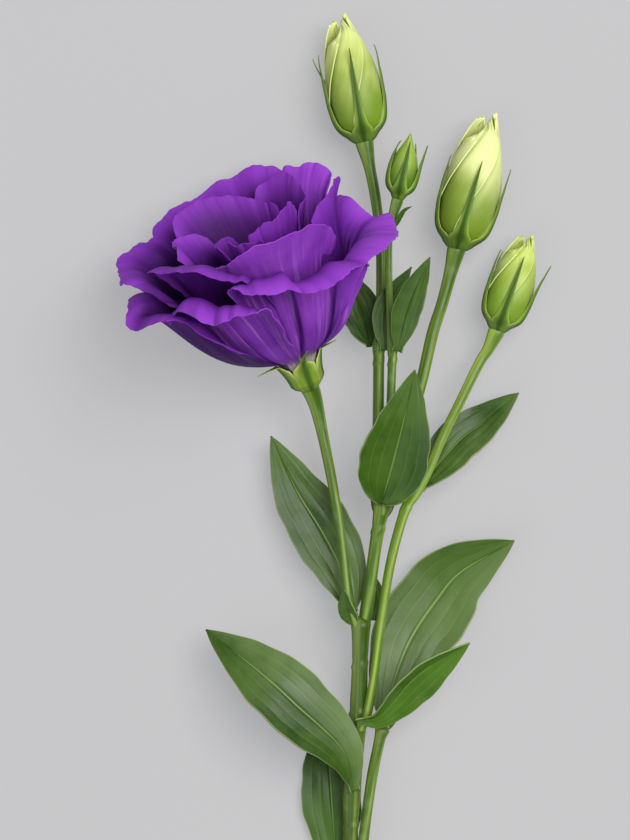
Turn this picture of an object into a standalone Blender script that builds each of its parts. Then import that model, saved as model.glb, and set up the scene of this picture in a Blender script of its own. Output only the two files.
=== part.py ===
"""Lisianthus spray, cut and laid on a surface: one open double flower, four buds and their leaves.

The stems run along +Y, from the cut end to the topmost bud, and the surface they lie on is z = 0.
Sizes and places are in millimetres, and MM turns them into Blender's metres. Each route, leaf and
petal is placed in the plant's own coordinates, and the empty named plant carries them all, so that
the origin ends under the middle of the whole plant.
"""
import math

import bpy
import numpy as np

MM = 0.001

# Driving dimensions.
LEAF_THICKNESS = 0.5
PETAL_THICKNESS = 0.42
SEPAL_THICKNESS = 0.5
STEM_STEP = 5.5           # spacing of the rings along a stem

# The flower: where its petals spring from, and how its axis stands.
FLOWER_BASE = np.array([-2.2, 10.8, 14.8])
FLOWER_LEAN = math.radians(22)    # towards -X, seen from above
FLOWER_RISE = math.radians(28)    # above the surface

GREEN = (0.10, 0.22, 0.035, 1)
LEAF_GREEN = (0.06, 0.16, 0.03, 1)
BUD_GREEN = (0.52, 0.66, 0.20, 1)
PURPLE = (0.16, 0.02, 0.42, 1)


def material(name, colour, roughness):
    made = bpy.data.materials.new(name)
    made.use_nodes = True
    shader = made.node_tree.nodes["Principled BSDF"]
    shader.inputs["Base Color"].default_value = colour
    shader.inputs["Roughness"].default_value = roughness
    shader.inputs["Metallic"].default_value = 0.0
    return made


def clear_scene():
    for obj in list(bpy.data.objects):
        bpy.data.objects.remove(obj)


def unit(v):
    v = np.asarray(v, float)
    return v / np.linalg.norm(v, axis=-1, keepdims=True)


def smooth_route(points, step):
    """Points about step apart on the Catmull-Rom curve through points, whose columns may hold more
    than a place, such as a radius."""
    p = np.asarray(points, float)
    p = np.vstack([2 * p[0] - p[1], p, 2 * p[-1] - p[-2]])
    found = []
    for a, b, c, d in zip(p, p[1:], p[2:], p[3:]):
        count = max(1, round(np.linalg.norm((c - b)[:3]) / step))
        t = (np.arange(count) / count)[:, None]
        found.append(0.5 * (2 * b + (c - a) * t + (2 * a - 5 * b + 4 * c - d) * t**2
                            + (3 * b - a - 3 * c + d) * t**3))
    return np.vstack(found + [p[-2:-1]])


def place(obj, finish, plant):
    bpy.context.scene.collection.objects.link(obj)
    obj.data.materials.append(finish)
    obj.parent = plant
    return obj


def stem(name, route, finish, plant):
    """A round stem: route holds x, y, z and the radius there."""
    points = smooth_route(route, STEM_STEP)
    curve = bpy.data.curves.new(name, "CURVE")
    curve.dimensions = "3D"
    curve.bevel_depth = MM
    curve.bevel_resolution = 2
    curve.use_fill_caps = True
    spline = curve.splines.new("POLY")
    spline.points.add(len(points) - 1)
    for at, (x, y, z, radius) in zip(spline.points, points):
        at.co = (x * MM, y * MM, z * MM, 1)
        at.radius = radius
    return place(bpy.data.objects.new(name, curve), finish, plant)


def sheet(name, grid, thickness, finish, plant, wrap=False):
    """A closed solid from a grid of points, rows by columns, given its thickness on both sides."""
    rows, columns = grid.shape[:2]
    index = np.arange(rows * columns).reshape(rows, columns)
    if wrap:
        index = np.hstack([index, index[:, :1]])
    quads = np.stack([index[:-1, :-1], index[:-1, 1:], index[1:, 1:], index[1:, :-1]], axis=-1)
    mesh = bpy.data.meshes.new(name)
    mesh.from_pydata((grid.reshape(-1, 3) * MM).tolist(), [], quads.reshape(-1, 4).tolist())
    mesh.shade_smooth()
    obj = place(bpy.data.objects.new(name, mesh), finish, plant)
    solid = obj.modifiers.new("thickness", "SOLIDIFY")
    solid.thickness = thickness * MM
    solid.offset = 0
    return obj


# Leaves: opposite pairs, ovate, with no stalk, springing from the nodes of the stems.

def leaf_grid(midrib, width, widest, face, fold, wave, rows=9, columns=5):
    """A leaf blade: midrib is a smooth route from base to tip, width the greatest width, widest how
    far up it is, face the way the upper side looks, fold how far the halves rise from the midrib, and
    wave the ripple of the edges."""
    line = smooth_route(midrib, 1.5)
    length = np.concatenate([[0], np.cumsum(np.linalg.norm(np.diff(line, axis=0), axis=1))])
    v = np.linspace(0.0, 0.985, rows)
    spine = np.stack([np.interp(v * length[-1], length, line[:, k]) for k in range(3)], axis=-1)
    along = unit(np.gradient(spine, axis=0))
    side = unit(np.cross(along, np.asarray(face, float)))
    up = np.cross(side, along)
    power = math.log(0.5) / math.log(widest)
    half = np.maximum(width / 2 * np.sin(np.pi * v**power) ** 0.85, 0.7)
    u = np.linspace(-1, 1, columns)
    lift = fold * np.abs(u) ** 1.3 + wave * np.sin(3 * np.pi * v[:, None] + 2.2 * u) * u**2
    return (spine[:, None] + side[:, None] * (half[:, None] * u)[..., None]
            + up[:, None] * (half[:, None] * lift)[..., None])


LEAVES = {
    # name: midrib, width, widest, face, fold, wave
    "leaf_lower_left": ([(10.3, -99.2, 10), (7.4, -89.3, 13), (-5.4, -76.5, 16.5),
                         (-14, -68.8, 15.5), (-29.6, -57, 10)], 18.5, 0.5, (0.15, 0.3, 1), 0.12, 0.06),
    "leaf_lower_behind": ([(6.2, -121.5, 2.6), (6.4, -113, 1.7), (4.8, -91.8, 1.2),
                           (1, -79, 1)], 13.5, 0.42, (0, 0, 1), 0.06, 0.03),
    "leaf_right_large": ([(18.9, -81.8, 10.4), (21, -72.8, 8), (25.9, -60.3, 5.4),
                          (33.6, -48.8, 4.4), (40.3, -41.2, 5), (54.3, -32.9, 8)],
                         22.5, 0.5, (-0.1, -0.1, 1), 0.12, 0.05),
    "leaf_right_folded": ([(15, -82, 12.6), (20.5, -77.5, 13.6), (26, -70.6, 16),
                           (32, -65.6, 18), (41.6, -59.9, 19)], 13, 0.5, (0.35, -0.6, 0.7), 0.45, 0.03),
    "leaf_fork_front": ([(18.6, -22.4, 17.4), (21.2, -10.2, 22.4), (23.7, 0, 26),
                         (26.6, 13.3, 28)], 18.5, 0.34, (0, -0.3, 1), 0.14, 0.04),
    "leaf_fork_behind": ([(18.4, -21.2, 8.6), (19.5, -10, 5), (21, 2, 2.6)],
                         11, 0.42, (0, 0.2, 1), 0.1, 0.02),
    "leaf_side_shoot": ([(29.5, -17.6, 10.6), (38.7, -6.3, 7.2), (45.8, -0.8, 6),
                         (55.6, 7.4, 6.4)], 12.5, 0.46, (-0.2, 0.2, 1), 0.2, 0.04),
    "leaf_behind_stalk": ([(9.6, -50.6, 9), (4.9, -33.3, 6.4), (-3, -26.5, 5.4),
                           (-8.2, -16.9, 5.2), (-12, -4.4, 6.4)], 17, 0.46, (0.1, 0.1, 1), 0.14, 0.05),
    "leaf_behind_flower": ([(14.8, 21.6, 8), (12.3, 30.3, 5.2), (7.5, 42, 2.6)],
                           11, 0.42, (0.1, 0.1, 1), 0.12, 0.03),
    "leaf_small_bud_front": ([(22.6, 20.2, 17.8), (25.2, 30.8, 21.6), (30.7, 43.5, 24)],
                             7.8, 0.45, (-0.2, -0.2, 1), 0.16, 0.03),
    "leaf_small_bud_left": ([(19, 20.6, 13), (19.2, 30, 13.2), (26.1, 41.4, 14)],
                            6.6, 0.42, (0, 0, 1), 0.1, 0.03),
    "leaf_axil_small": ([(16, -52.8, 8.6), (16.6, -47.5, 7), (16.4, -42.5, 6)],
                        4.6, 0.45, (0, 0.1, 1), 0.15, 0.02),
    "bract_small_bud": ([(22.3, 53.3, 18.4), (23.8, 56, 19.2), (26.1, 57.4, 20)],
                        1.6, 0.4, (-0.4, 0.4, 1), 0.2, 0.0),
}


# Stems: a forked main stem, each branch springing from a node just above a pair of leaves.

STEMS = {
    # name: route of x, y, z and radius
    "main_stem": [(8.2, -171.2, 2.3, 2.3), (8.3, -168, 2.4, 2.3), (8.8, -145.1, 3.4, 2.25),
                  (9.6, -123, 5, 2.5), (9.8, -111.9, 5.9, 2), (10.1, -101.7, 6.8, 2.35),
                  (11.2, -89.9, 7.7, 2.1), (11.7, -81.1, 8.5, 2.4), (12.2, -66.6, 9.8, 2.15),
                  (12.4, -57.5, 10.8, 2.5), (12.5, -54.8, 11.1, 3.1)],
    "fork_stem": [(13.7, -54.4, 10.6, 1.6), (14.4, -48.5, 11.3, 1.75), (16.2, -35.5, 12.2, 1.65),
                  (17.6, -25.8, 12.6, 1.9), (18.3, -22.6, 12.7, 3)],
    "flower_stalk": [(10.5, -54.4, 12.4, 1.15), (9.2, -48.4, 13.4, 1.3), (7.6, -35.5, 13, 1.25),
                     (6.1, -25.2, 12.2, 1.25), (4.3, -14.9, 11.4, 1.35), (2.2, -4.5, 11, 1.5),
                     (0.7, 2.4, 11.3, 1.7), (-0.35, 6.2, 12.3, 1.95), (-1.5, 9.05, 13.8, 2.4)],
    "top_bud_stalk": [(16.2, -21.9, 12.1, 1.3), (17, -8.1, 11.6, 1.5), (17.2, 3.3, 11.2, 1.5),
                      (17.3, 16, 10.8, 1.5), (17.4, 20.1, 10.8, 1.8), (17.8, 25, 10.8, 1.35),
                      (17.9, 43.4, 10.4, 1.3), (17.4, 52.9, 9.4, 1.35), (16.3, 61.5, 8.5, 1.45),
                      (14.9, 68.8, 7.9, 1.6), (13.55, 75.3, 7.8, 2.5)],
    "small_bud_stalk": [(18.9, -22.2, 14.9, 1.05), (19.9, -5.4, 15, 1.15), (20.4, 3.2, 15, 1.15),
                        (20.8, 14.8, 15.3, 1.15), (20.9, 19.7, 15.5, 1.4), (20.2, 29.7, 16, 1.0),
                        (19.9, 40.4, 16.4, 0.95), (20, 48.5, 16.7, 0.95), (20.9, 54.6, 17, 1.2),
                        (22.15, 59.0, 17, 1.6)],
    "large_bud_stalk": [(20.5, -22.2, 11.6, 1.4), (23, -9.5, 11.3, 1.5), (26.3, 1.4, 11, 1.5),
                        (29, 10.8, 10.6, 1.55), (32, 23.6, 9.6, 1.6), (34.7, 32, 8.7, 1.6),
                        (36.9, 40.1, 8.2, 1.8), (38.45, 46.2, 8, 2.5)],
    "side_bud_stalk": [(14.4, -79.6, 11.2, 1.1), (16.2, -68, 12.2, 1.15), (17.6, -57.1, 12.6, 1.2),
                       (20.3, -39.5, 13, 1.3), (24.1, -25.2, 13.3, 1.4), (27.3, -19.2, 13.2, 1.8),
                       (30.6, -13.8, 12.9, 1.35), (34.4, -5.1, 12, 1.3), (39.5, 5.1, 10.3, 1.3),
                       (44.7, 15.4, 7.8, 1.4), (47.2, 19.3, 7.1, 1.6), (49.4, 23.9, 6.8, 2.3)],
    "lower_shoot": [(13, -119.6, 7, 1.15), (13.2, -114.7, 7.2, 1.4), (14.2, -106.5, 7.2, 1.4),
                    (15.7, -96.5, 7.4, 1.45), (17.6, -87.2, 7.8, 1.5), (18.3, -84.6, 8, 2)],
}


# Round an axis: the places of buds, sepals and petals.

def frame_on(base, tip):
    """The unit axis from base to tip, and the directions across it that face front and right."""
    axis = unit(np.subtract(tip, base))
    front = unit(np.array([0, 0, 1.0]) - axis[2] * axis)
    return axis, front, np.cross(front, -axis)


def turned(base, frame, radius, angle, height):
    """Points at a radius, angle and height round an axis. Angle 0 faces front and 90 degrees right."""
    axis, front, right = frame
    return (np.asarray(base) + axis * height[..., None] + front * (radius * np.cos(angle))[..., None]
            + right * (radius * np.sin(angle))[..., None])


def pushed_out(radius, height, shift):
    """An outline, its rows running from foot to tip, moved outwards by shift."""
    slope = np.arctan2(np.gradient(radius, axis=0), np.gradient(height, axis=0))
    return radius + shift * np.cos(slope), height - shift * np.sin(slope)


def calyx(name, base, frame, outline, lobes_from, length, flare, turn, cup_rows, finish, plant):
    """Five sepals joined in a cup at the foot: a ring of quads whose lobes part above the cup.
    outline gives the radius and height at a distance along the cup and an angle, lobes_from is the
    distance where the sepals part, length that of their tips, flare how far each tip stands out, and
    turn the angle where the first two part."""
    lobe_rows, columns = 5, 10
    points, faces = [], []
    for distance in np.linspace(0, lobes_from, cup_rows):
        angle = turn + np.arange(columns) * 2 * math.pi / columns
        radius, height = outline(distance + 0 * angle, angle)
        points += turned(base, frame, radius, angle, height).tolist()
    for row in range(cup_rows - 1):
        for k in range(columns):
            a, b = row * columns + k, row * columns + (k + 1) % columns
            faces.append([a, b, b + columns, a + columns])
    top = (cup_rows - 1) * columns
    for middle in range(1, columns, 2):
        edge = [top + middle - 1, top + middle, top + (middle + 1) % columns]
        centre = turn + middle * 2 * math.pi / columns
        for s in np.linspace(0, 1, lobe_rows + 1)[1:]:
            distance = lobes_from + (length - lobes_from) * s + np.zeros(3)
            half = 1.65 * (1 - s) ** 0.7 * (0.55 + 0.45 * (1 - s) ** 4) + 0.22
            radius = outline(distance, centre + np.zeros(3))[0] + flare[middle // 2] * s**2.2
            angle = centre + np.array([-1, 0, 1]) * half / radius
            height = outline(distance, angle)[1]
            new = len(points)
            points += turned(base, frame, radius + [0, 0.15, 0], angle, height).tolist()
            nodes = [new, new + 1, new + 2]
            faces += [[edge[k], edge[k + 1], nodes[k + 1], nodes[k]] for k in range(2)]
            edge = nodes
    mesh = bpy.data.meshes.new(name)
    mesh.from_pydata((np.array(points) * MM).tolist(), [], faces)
    mesh.shade_smooth()
    obj = place(bpy.data.objects.new(name, mesh), finish, plant)
    solid = obj.modifiers.new("thickness", "SOLIDIFY")
    solid.thickness = SEPAL_THICKNESS * MM
    solid.offset = 0


# Buds: five petals wrapped round each other like a closed umbrella, in a cup of five sepals.

BUD_FOOT = 1.7            # from the bottom of the calyx to the foot of the petals
BUD_PITCH = 0.75          # how far a petal's edges stand in and out of the round
BUD_HALF_ANGLE = math.radians(50)
CALYX_CLEARANCE = 1.45    # from a bud's mean surface to the middle of its sepals

BUDS = {
    # name: base, tip, widest radius, sepal length, cup height, flare of each sepal's tip
    "top_bud": ((13.4, 75.9, 7.8), (6.5, 110.3, 8.2), 7.4, 26, 3.4, (1.5, 2.5, 0.5, 0.5, 3)),
    "large_bud": ((38.6, 46.8, 8), (47.7, 83.7, 8.4), 7.6, 26, 3.4, (1, 2.5, 0.4, 0.4, 1)),
    "side_bud": ((49.6, 24.5, 6.8), (58.2, 50.6, 7.2), 6.2, 22, 3, (1, 4.5, 0.6, 0.6, 2.5)),
    "small_bud": ((22.3, 59.6, 17), (25.8, 77.2, 18), 3.9, 14, 2.4, (0.8, 2.5, 0.5, 0.5, 0.8)),
}


def bud_radius(t, widest):
    """The bud's outline: a rounded foot, widest a third of the way up, and a narrow twisted tip."""
    stops = [0, 0.05, 0.13, 0.3, 0.5, 0.75, 0.92, 1]
    sizes = [0.3, 0.56, 0.8, 1, 0.95, 0.62, 0.31, 0.26]
    return widest * np.interp(t, stops, sizes)


def bud_petal_grid(base, tip, widest, number, rows=9, columns=6):
    """One wrapped petal: its right edge lies over the next petal and its left edge under the last,
    and the whole wrap turns towards the tip."""
    length = np.linalg.norm(np.subtract(tip, base))
    t = np.linspace(0, 1, rows)[:, None] ** 1.15 + 0 * np.zeros((1, columns))
    u = np.linspace(-1, 1, columns)[None, :] + 0 * t
    angle = math.radians(72) * number + 1.5 * t**1.3 + BUD_HALF_ANGLE * u * (1 - 0.3 * t**6)
    radius, height = pushed_out(bud_radius(t, widest), BUD_FOOT + (length - BUD_FOOT) * t,
                                BUD_PITCH * u)
    return turned(base, frame_on(base, tip), radius, angle, height)


def closed_bud(name, base, tip, widest, finish, plant):
    """A small bud that is still tight: one turned solid."""
    length = np.linalg.norm(np.subtract(tip, base))
    t = np.linspace(0, 1, 10)[:, None] + np.zeros((1, 12))
    angle = np.linspace(0, 2 * math.pi, 12, endpoint=False)[None, :] + 0 * t
    grid = turned(base, frame_on(base, tip), bud_radius(t, widest), angle,
                  BUD_FOOT + (length - BUD_FOOT) * t)
    index = np.arange(grid.shape[0] * 12).reshape(-1, 12)
    ring = np.roll(index, -1, axis=1)
    quads = np.stack([index[:-1], ring[:-1], ring[1:], index[1:]], axis=-1).reshape(-1, 4).tolist()
    mesh = bpy.data.meshes.new(name)
    mesh.from_pydata((grid.reshape(-1, 3) * MM).tolist(), [],
                     quads + [index[0, ::-1].tolist(), index[-1].tolist()])
    mesh.shade_smooth()
    place(bpy.data.objects.new(name, mesh), finish, plant)


def build_buds(petal_finish, green, plant):
    for name, (base, tip, widest, sepal, cup, flare) in BUDS.items():
        length = np.linalg.norm(np.subtract(tip, base))
        if name == "small_bud":
            closed_bud(name, base, tip, widest, green, plant)
        else:
            for number in range(5):
                sheet(f"{name}_petal_{number + 1}", bud_petal_grid(base, tip, widest, number),
                      PETAL_THICKNESS, petal_finish, plant)

        def outline(distance, angle):
            up = np.clip(distance - 0.6, 0, None) / (length - 0.6)
            return bud_radius(up, widest) + CALYX_CLEARANCE, distance

        calyx(f"{name}_calyx", base, frame_on(base, tip), outline, cup, sepal, flare,
              math.radians(-36), 3, green, plant)


# The flower: three whorls of petals, each petal over the next like a pinwheel. The petals of a whorl
# lie along one cup, which leans, flares and stands taller from one side to another.

WHORLS = {
    # whorl: radius and height of the foot, distances along the cup and its angle from the axis at
    # each, the flare of its sides, the ripple of its rim, and a petal's step out with each degree
    "outer": (3.9, 0.8, [0, 5, 9, 15, 22, 31, 39, 47, 55], [12, 20, 58, 54, 38, 24, 24, 50, 86],
              8, 1.2, 0.024),
    "middle": (2.4, 4.7, [0, 4, 10, 18, 28, 40, 48], [14, 34, 50, 34, 16, 12, 30], 4, 0.9, 0.012),
    "inner": (1.3, 6.5, [0, 6, 16, 28, 40, 48], [10, 26, 22, 6, -2, 6], 0, 0.3, 0.0105),
}
PETALS = {
    # whorl: middle angle, half-width, length, and how much further its own rim curls
    "outer": [(36, 46, 52, 0), (100, 46, 54, 6), (172, 48, 58, 0), (230, 40, 58, -3),
              (278, 38, 54, 4), (332, 40, 52, 0)],
    "middle": [(15, 50, 46, 0), (80, 46, 45, 0), (142, 46, 50, 0), (214, 46, 50, 10), (290, 50, 43, 0)],
    "inner": [(70, 50, 46, 0), (142, 50, 42, 0), (214, 50, 44, 0), (286, 50, 39, 0), (358, 50, 39, 0)],
}


def flower_frame():
    axis = np.array([-math.sin(FLOWER_LEAN) * math.cos(FLOWER_RISE),
                     math.cos(FLOWER_LEAN) * math.cos(FLOWER_RISE), math.sin(FLOWER_RISE)])
    return frame_on(np.zeros(3), axis)


def cup(whorl, reach, angle, shift=0, curl=0, steps=28):
    """The radius and height at a reach along a whorl's cup, at an angle, and pushed out by shift."""
    foot_radius, foot_height, distances, angles, side_flare, _, _ = WHORLS[whorl]
    size = 1 - 0.06 * np.cos(angle)
    along = reach * np.linspace(0, 1, steps).reshape(-1, *[1] * np.ndim(reach)) / size
    lean = (-2 - 4.5 * np.cos(angle)) * np.clip((along - 8) / 8, 0, 1)
    flare = (curl - side_flare * np.cos(2 * angle)) * (along / distances[-1]) ** 4
    slope = np.radians(np.interp(along, distances, angles) + lean + flare)
    middle = (slope[1:] + slope[:-1]) / 2
    radius = foot_radius + (np.sin(middle) * reach / (steps - 1)).sum(0)
    height = foot_height + (np.cos(middle) * reach / (steps - 1)).sum(0)
    return radius + shift * np.cos(slope[-1]), height - shift * np.sin(slope[-1])


def petal_grid(whorl, middle, half, length, curl, rows=12, columns=9):
    """A petal: a part of the whorl's cup with a rounded top, rippling towards the rim. Its right edge
    steps out over the next petal and its left edge in under the last."""
    *_, ripple, step = WHORLS[whorl]
    u = np.linspace(-1, 1, columns)[None, :] + np.zeros((rows, 1))
    v = 1 - (1 - np.linspace(0, 1, rows)[:, None]) ** 1.35 + np.zeros((1, columns))
    angle = np.radians(middle + half * u)
    reach = length * v * (1 - 0.24 * np.abs(u) ** 2.6)
    shift = step * half * u + ripple * (reach / length) ** 4 * np.sin(7 * angle + 0.05 * reach)
    radius, height = cup(whorl, reach, angle, shift, curl * np.clip(1 - (u / 0.65) ** 2, 0, 1) ** 2)
    return turned(FLOWER_BASE, flower_frame(), radius, angle, height)


def build_flower(petal_finish, green, plant):
    for whorl, petals in PETALS.items():
        for number, petal in enumerate(petals, 1):
            sheet(f"petal_{whorl}_{number}", petal_grid(whorl, *petal), PETAL_THICKNESS,
                  petal_finish, plant)

    def outline(distance, angle):
        radius, height = cup("outer", np.clip(distance - 2.5, 0.01, None), angle, 2.4)
        share = np.clip(distance / 2.5, 0, 1)
        return 2.6 + (radius - 2.6) * share, -1.5 + (height + 1.5) * share

    calyx("flower_calyx", FLOWER_BASE, flower_frame(), outline, 10.5, 20, (3, 0.6, 0.4, 0.4, 2.5),
          math.radians(-30), 7, green, plant)


def stand_on_origin(plant):
    """Moves the plant so that the origin is under the middle of its box."""
    bpy.context.view_layer.update()
    graph = bpy.context.evaluated_depsgraph_get()
    corners = np.array([vertex.co for obj in plant.children
                        for vertex in obj.evaluated_get(graph).to_mesh().vertices])
    low, high = corners.min(0), corners.max(0)
    plant.location = (-(low[0] + high[0]) / 2, -(low[1] + high[1]) / 2, -low[2])


def main():
    clear_scene()
    plant = bpy.data.objects.new("plant", None)
    bpy.context.scene.collection.objects.link(plant)
    green = material("stem_green", GREEN, 0.45)
    leaf_green = material("leaf_green", LEAF_GREEN, 0.5)
    bud_green = material("bud_green", BUD_GREEN, 0.5)
    purple = material("petal_purple", PURPLE, 0.55)
    for name, route in STEMS.items():
        stem(name, route, green, plant)
    for name, leaf in LEAVES.items():
        sheet(name, leaf_grid(*leaf), LEAF_THICKNESS, leaf_green, plant)
    build_buds(bud_green, green, plant)
    build_flower(purple, green, plant)
    stand_on_origin(plant)


main()
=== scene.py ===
"""Lisianthus spray, cut and lying on a surface: its stems, leaves, buds and open flower.

Places are in millimetres in the plant's own coordinates, with the stems along +Y, and PLANT says
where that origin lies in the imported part. Each piece stands for the CAD node that holds its place.
"""
import math

import bmesh
import bpy
import numpy as np
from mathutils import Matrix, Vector


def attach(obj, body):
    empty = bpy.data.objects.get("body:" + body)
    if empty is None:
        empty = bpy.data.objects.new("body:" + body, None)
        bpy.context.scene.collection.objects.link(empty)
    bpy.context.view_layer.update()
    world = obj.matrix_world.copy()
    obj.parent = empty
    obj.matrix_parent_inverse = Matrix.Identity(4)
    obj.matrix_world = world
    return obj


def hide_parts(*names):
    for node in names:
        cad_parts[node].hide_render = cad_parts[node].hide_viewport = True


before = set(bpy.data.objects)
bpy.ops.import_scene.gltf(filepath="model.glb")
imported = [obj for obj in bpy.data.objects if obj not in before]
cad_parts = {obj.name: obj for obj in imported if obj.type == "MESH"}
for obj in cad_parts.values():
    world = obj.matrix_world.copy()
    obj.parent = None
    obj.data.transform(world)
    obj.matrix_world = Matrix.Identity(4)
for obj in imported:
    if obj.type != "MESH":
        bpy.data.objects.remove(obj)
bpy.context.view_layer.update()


# Stems: one main stem that forks twice, with round green stalks to the flower and each bud, grown
# out of each other. They are a little angular, with a waxy bloom, and swell to a low collar at each
# node where leaves clasp them.

MM = 0.001
PLANT = np.array([-6.8142, 30.1324, 0.2028])
STEM_SIDES = 36
STEM_STEP = 0.7
RIDGE_HEIGHT, FINE_RIDGE_HEIGHT = 0.022, 0.007  # as shares of the stem's radius
COLLAR_HEIGHT, COLLAR_WIDTH = 0.32, 0.55
COLLAR_LEAN = 0.6  # how far out of square it is, up one side and down the other
GROOVE_DEPTH, GROOVE_WIDTH, GROOVE_ABOVE = 0.16, 0.7, 1.5  # over each collar
THINNEST_WITH_COLLAR = 0.6  # a ring's radius
FLAT_END = (0, 0.55, 0.9)  # rings of the flat lower end, as shares of its radius
DOME = 0.8  # how far an upper end rises, as a share of its radius
DOME_ANGLES = (18, 36, 54, 70, 82, 90)
WELD = 2e-6  # points within this many metres become one
STEM_BUMP = 0.00007  # metres, as all the bumps' depths are
STEM_WAX = (0.3, 0.42, 0.16)
BRONZE = (0.11, 0.055, 0.02)

STEMS = {
    # name: finish, places of its collars along it, and its route of x, y, z and radius
    "main_stem": ("old", (50, 60.5, 92, 105), [
        (8.2, -171.2, 2.3, 2.3), (8.3, -168, 2.4, 2.3), (8.8, -145.1, 3.4, 2.25),
        (9.6, -123, 5, 2.5), (9.8, -111.9, 5.9, 2), (10.1, -101.7, 6.8, 2.35),
        (11.2, -89.9, 7.7, 2.1), (11.7, -81.1, 8.5, 2.4), (12.2, -66.6, 9.8, 2.15),
        (12.4, -58.5, 10.7, 2.4), (12.45, -55.6, 11, 2.75)]),
    "fork_stem": ("branch", (29,), [
        (12.5, -58.5, 10.7, 1.3), (13.5, -54.4, 10.6, 1.7), (14.4, -48.5, 11.3, 1.75),
        (16.2, -35.5, 12.2, 1.65), (17.6, -26.6, 12.6, 1.95), (18.2, -23.6, 12.7, 2.6)]),
    "flower_stalk": ("branch", (), [
        (12, -58.5, 11.4, 0.9), (10.8, -54.4, 12.2, 1.3), (9.2, -48.4, 13.4, 1.3),
        (7.6, -35.5, 13, 1.25), (6.1, -25.2, 12.2, 1.25), (4.3, -14.9, 11.4, 1.35),
        (2.2, -4.5, 11, 1.5), (0.7, 2.4, 11.3, 1.85), (-0.35, 6.2, 12.3, 2.25),
        (-1.5, 9.05, 13.8, 2.6)]),
    "top_bud_stalk": ("branch", (42,), [
        (17.6, -25.8, 12.4, 1.1), (16.5, -21.9, 12.1, 1.4), (17, -8.1, 11.6, 1.5),
        (17.2, 3.3, 11.2, 1.5), (17.3, 16, 10.8, 1.5), (17.4, 20.1, 10.8, 1.8),
        (17.8, 25, 10.8, 1.35), (17.9, 43.4, 10.4, 1.3), (17.4, 52.9, 9.4, 1.35),
        (16.3, 61.5, 8.5, 1.45), (14.9, 68.8, 7.9, 1.6), (13.55, 75.3, 7.8, 2.5)]),
    "small_bud_stalk": ("branch", (42, 77), [
        (18.2, -26, 13.4, 0.9), (18.8, -22.2, 14.6, 1.15), (19.9, -5.4, 15, 1.15),
        (20.4, 3.2, 15, 1.15), (20.8, 14.8, 15.3, 1.15), (20.9, 19.7, 15.5, 1.4),
        (20.2, 29.7, 16, 1), (19.9, 40.4, 16.4, 0.95), (20, 48.5, 16.7, 0.95),
        (20.9, 54.6, 17, 1.2), (22.15, 59, 17, 1.6)]),
    "large_bud_stalk": ("branch", (), [
        (18.6, -26, 12.3, 1.2), (20.3, -22.2, 11.7, 1.5), (23, -9.5, 11.3, 1.5),
        (26.3, 1.4, 11, 1.5), (29, 10.8, 10.6, 1.55), (32, 23.6, 9.6, 1.6), (34.7, 32, 8.7, 1.6),
        (36.9, 40.1, 8.2, 1.8), (38.45, 46.2, 8, 2.5)]),
    "side_bud_stalk": ("young", (62,), [
        (12.4, -84.5, 9.4, 1), (14.2, -79.6, 10.9, 1.25), (16.2, -68, 12.2, 1.15),
        (17.6, -57.1, 12.6, 1.2), (20.3, -39.5, 13, 1.3), (24.1, -25.2, 13.3, 1.4),
        (27.3, -19.2, 13.2, 1.8), (30.6, -13.8, 12.9, 1.35), (34.4, -5.1, 12, 1.3),
        (39.5, 5.1, 10.3, 1.3), (44.7, 15.4, 7.8, 1.4), (47.2, 19.3, 7.1, 1.6),
        (49.4, 23.9, 6.8, 2.3)]),
    "lower_shoot": ("branch", (), [
        (10.4, -124.5, 5.4, 1), (12.6, -119.6, 6.8, 1.3), (13.2, -114.7, 7.2, 1.4),
        (14.2, -106.5, 7.2, 1.4), (15.7, -96.5, 7.4, 1.45), (17.6, -87.2, 7.8, 1.5),
        (18.3, -84.6, 8, 2)]),
}


def unit(v):
    """A vector, or each of an array of them, over its own length."""
    v = np.asarray(v, float)
    return v / np.linalg.norm(v, axis=-1, keepdims=True)


def with_ends(points):
    """The points, with one more before the first and after the last, each a step further on."""
    p = np.asarray(points, float)
    return np.vstack([2 * p[0] - p[1], p, 2 * p[-1] - p[-2]])


def catmull_rom(a, b, c, d, t):
    """The points at shares t of the way from b to c on the Catmull-Rom curve through a to d."""
    return 0.5 * (2 * b + (c - a) * t + (2 * a - 5 * b + 4 * c - d) * t**2
                  + (3 * b - a - 3 * c + d) * t**3)


def smooth_route(points, step):
    """Points about step apart on the Catmull-Rom curve through points, whose columns may hold more
    than a place, such as a radius."""
    p = with_ends(points)
    found = []
    for a, b, c, d in zip(p, p[1:], p[2:], p[3:]):
        count = max(1, round(np.linalg.norm((c - b)[:3]) / step))
        found.append(catmull_rom(a, b, c, d, (np.arange(count) / count)[:, None]))
    return np.vstack(found + [p[-2:-1]])


def distances(points):
    """How far each point is along the line through them all."""
    return np.concatenate([[0], np.cumsum(np.linalg.norm(np.diff(points, axis=0), axis=1))])


def bump_at(x, centre, width):
    """One at centre, falling away on both sides as e to the minus the square of the distance over
    width."""
    return np.exp(-(((x - centre) / width) ** 2))


def new_object(name, data):
    """An object that holds data, in the scene."""
    made = bpy.data.objects.new(name, data)
    bpy.context.scene.collection.objects.link(made)
    return made


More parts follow.
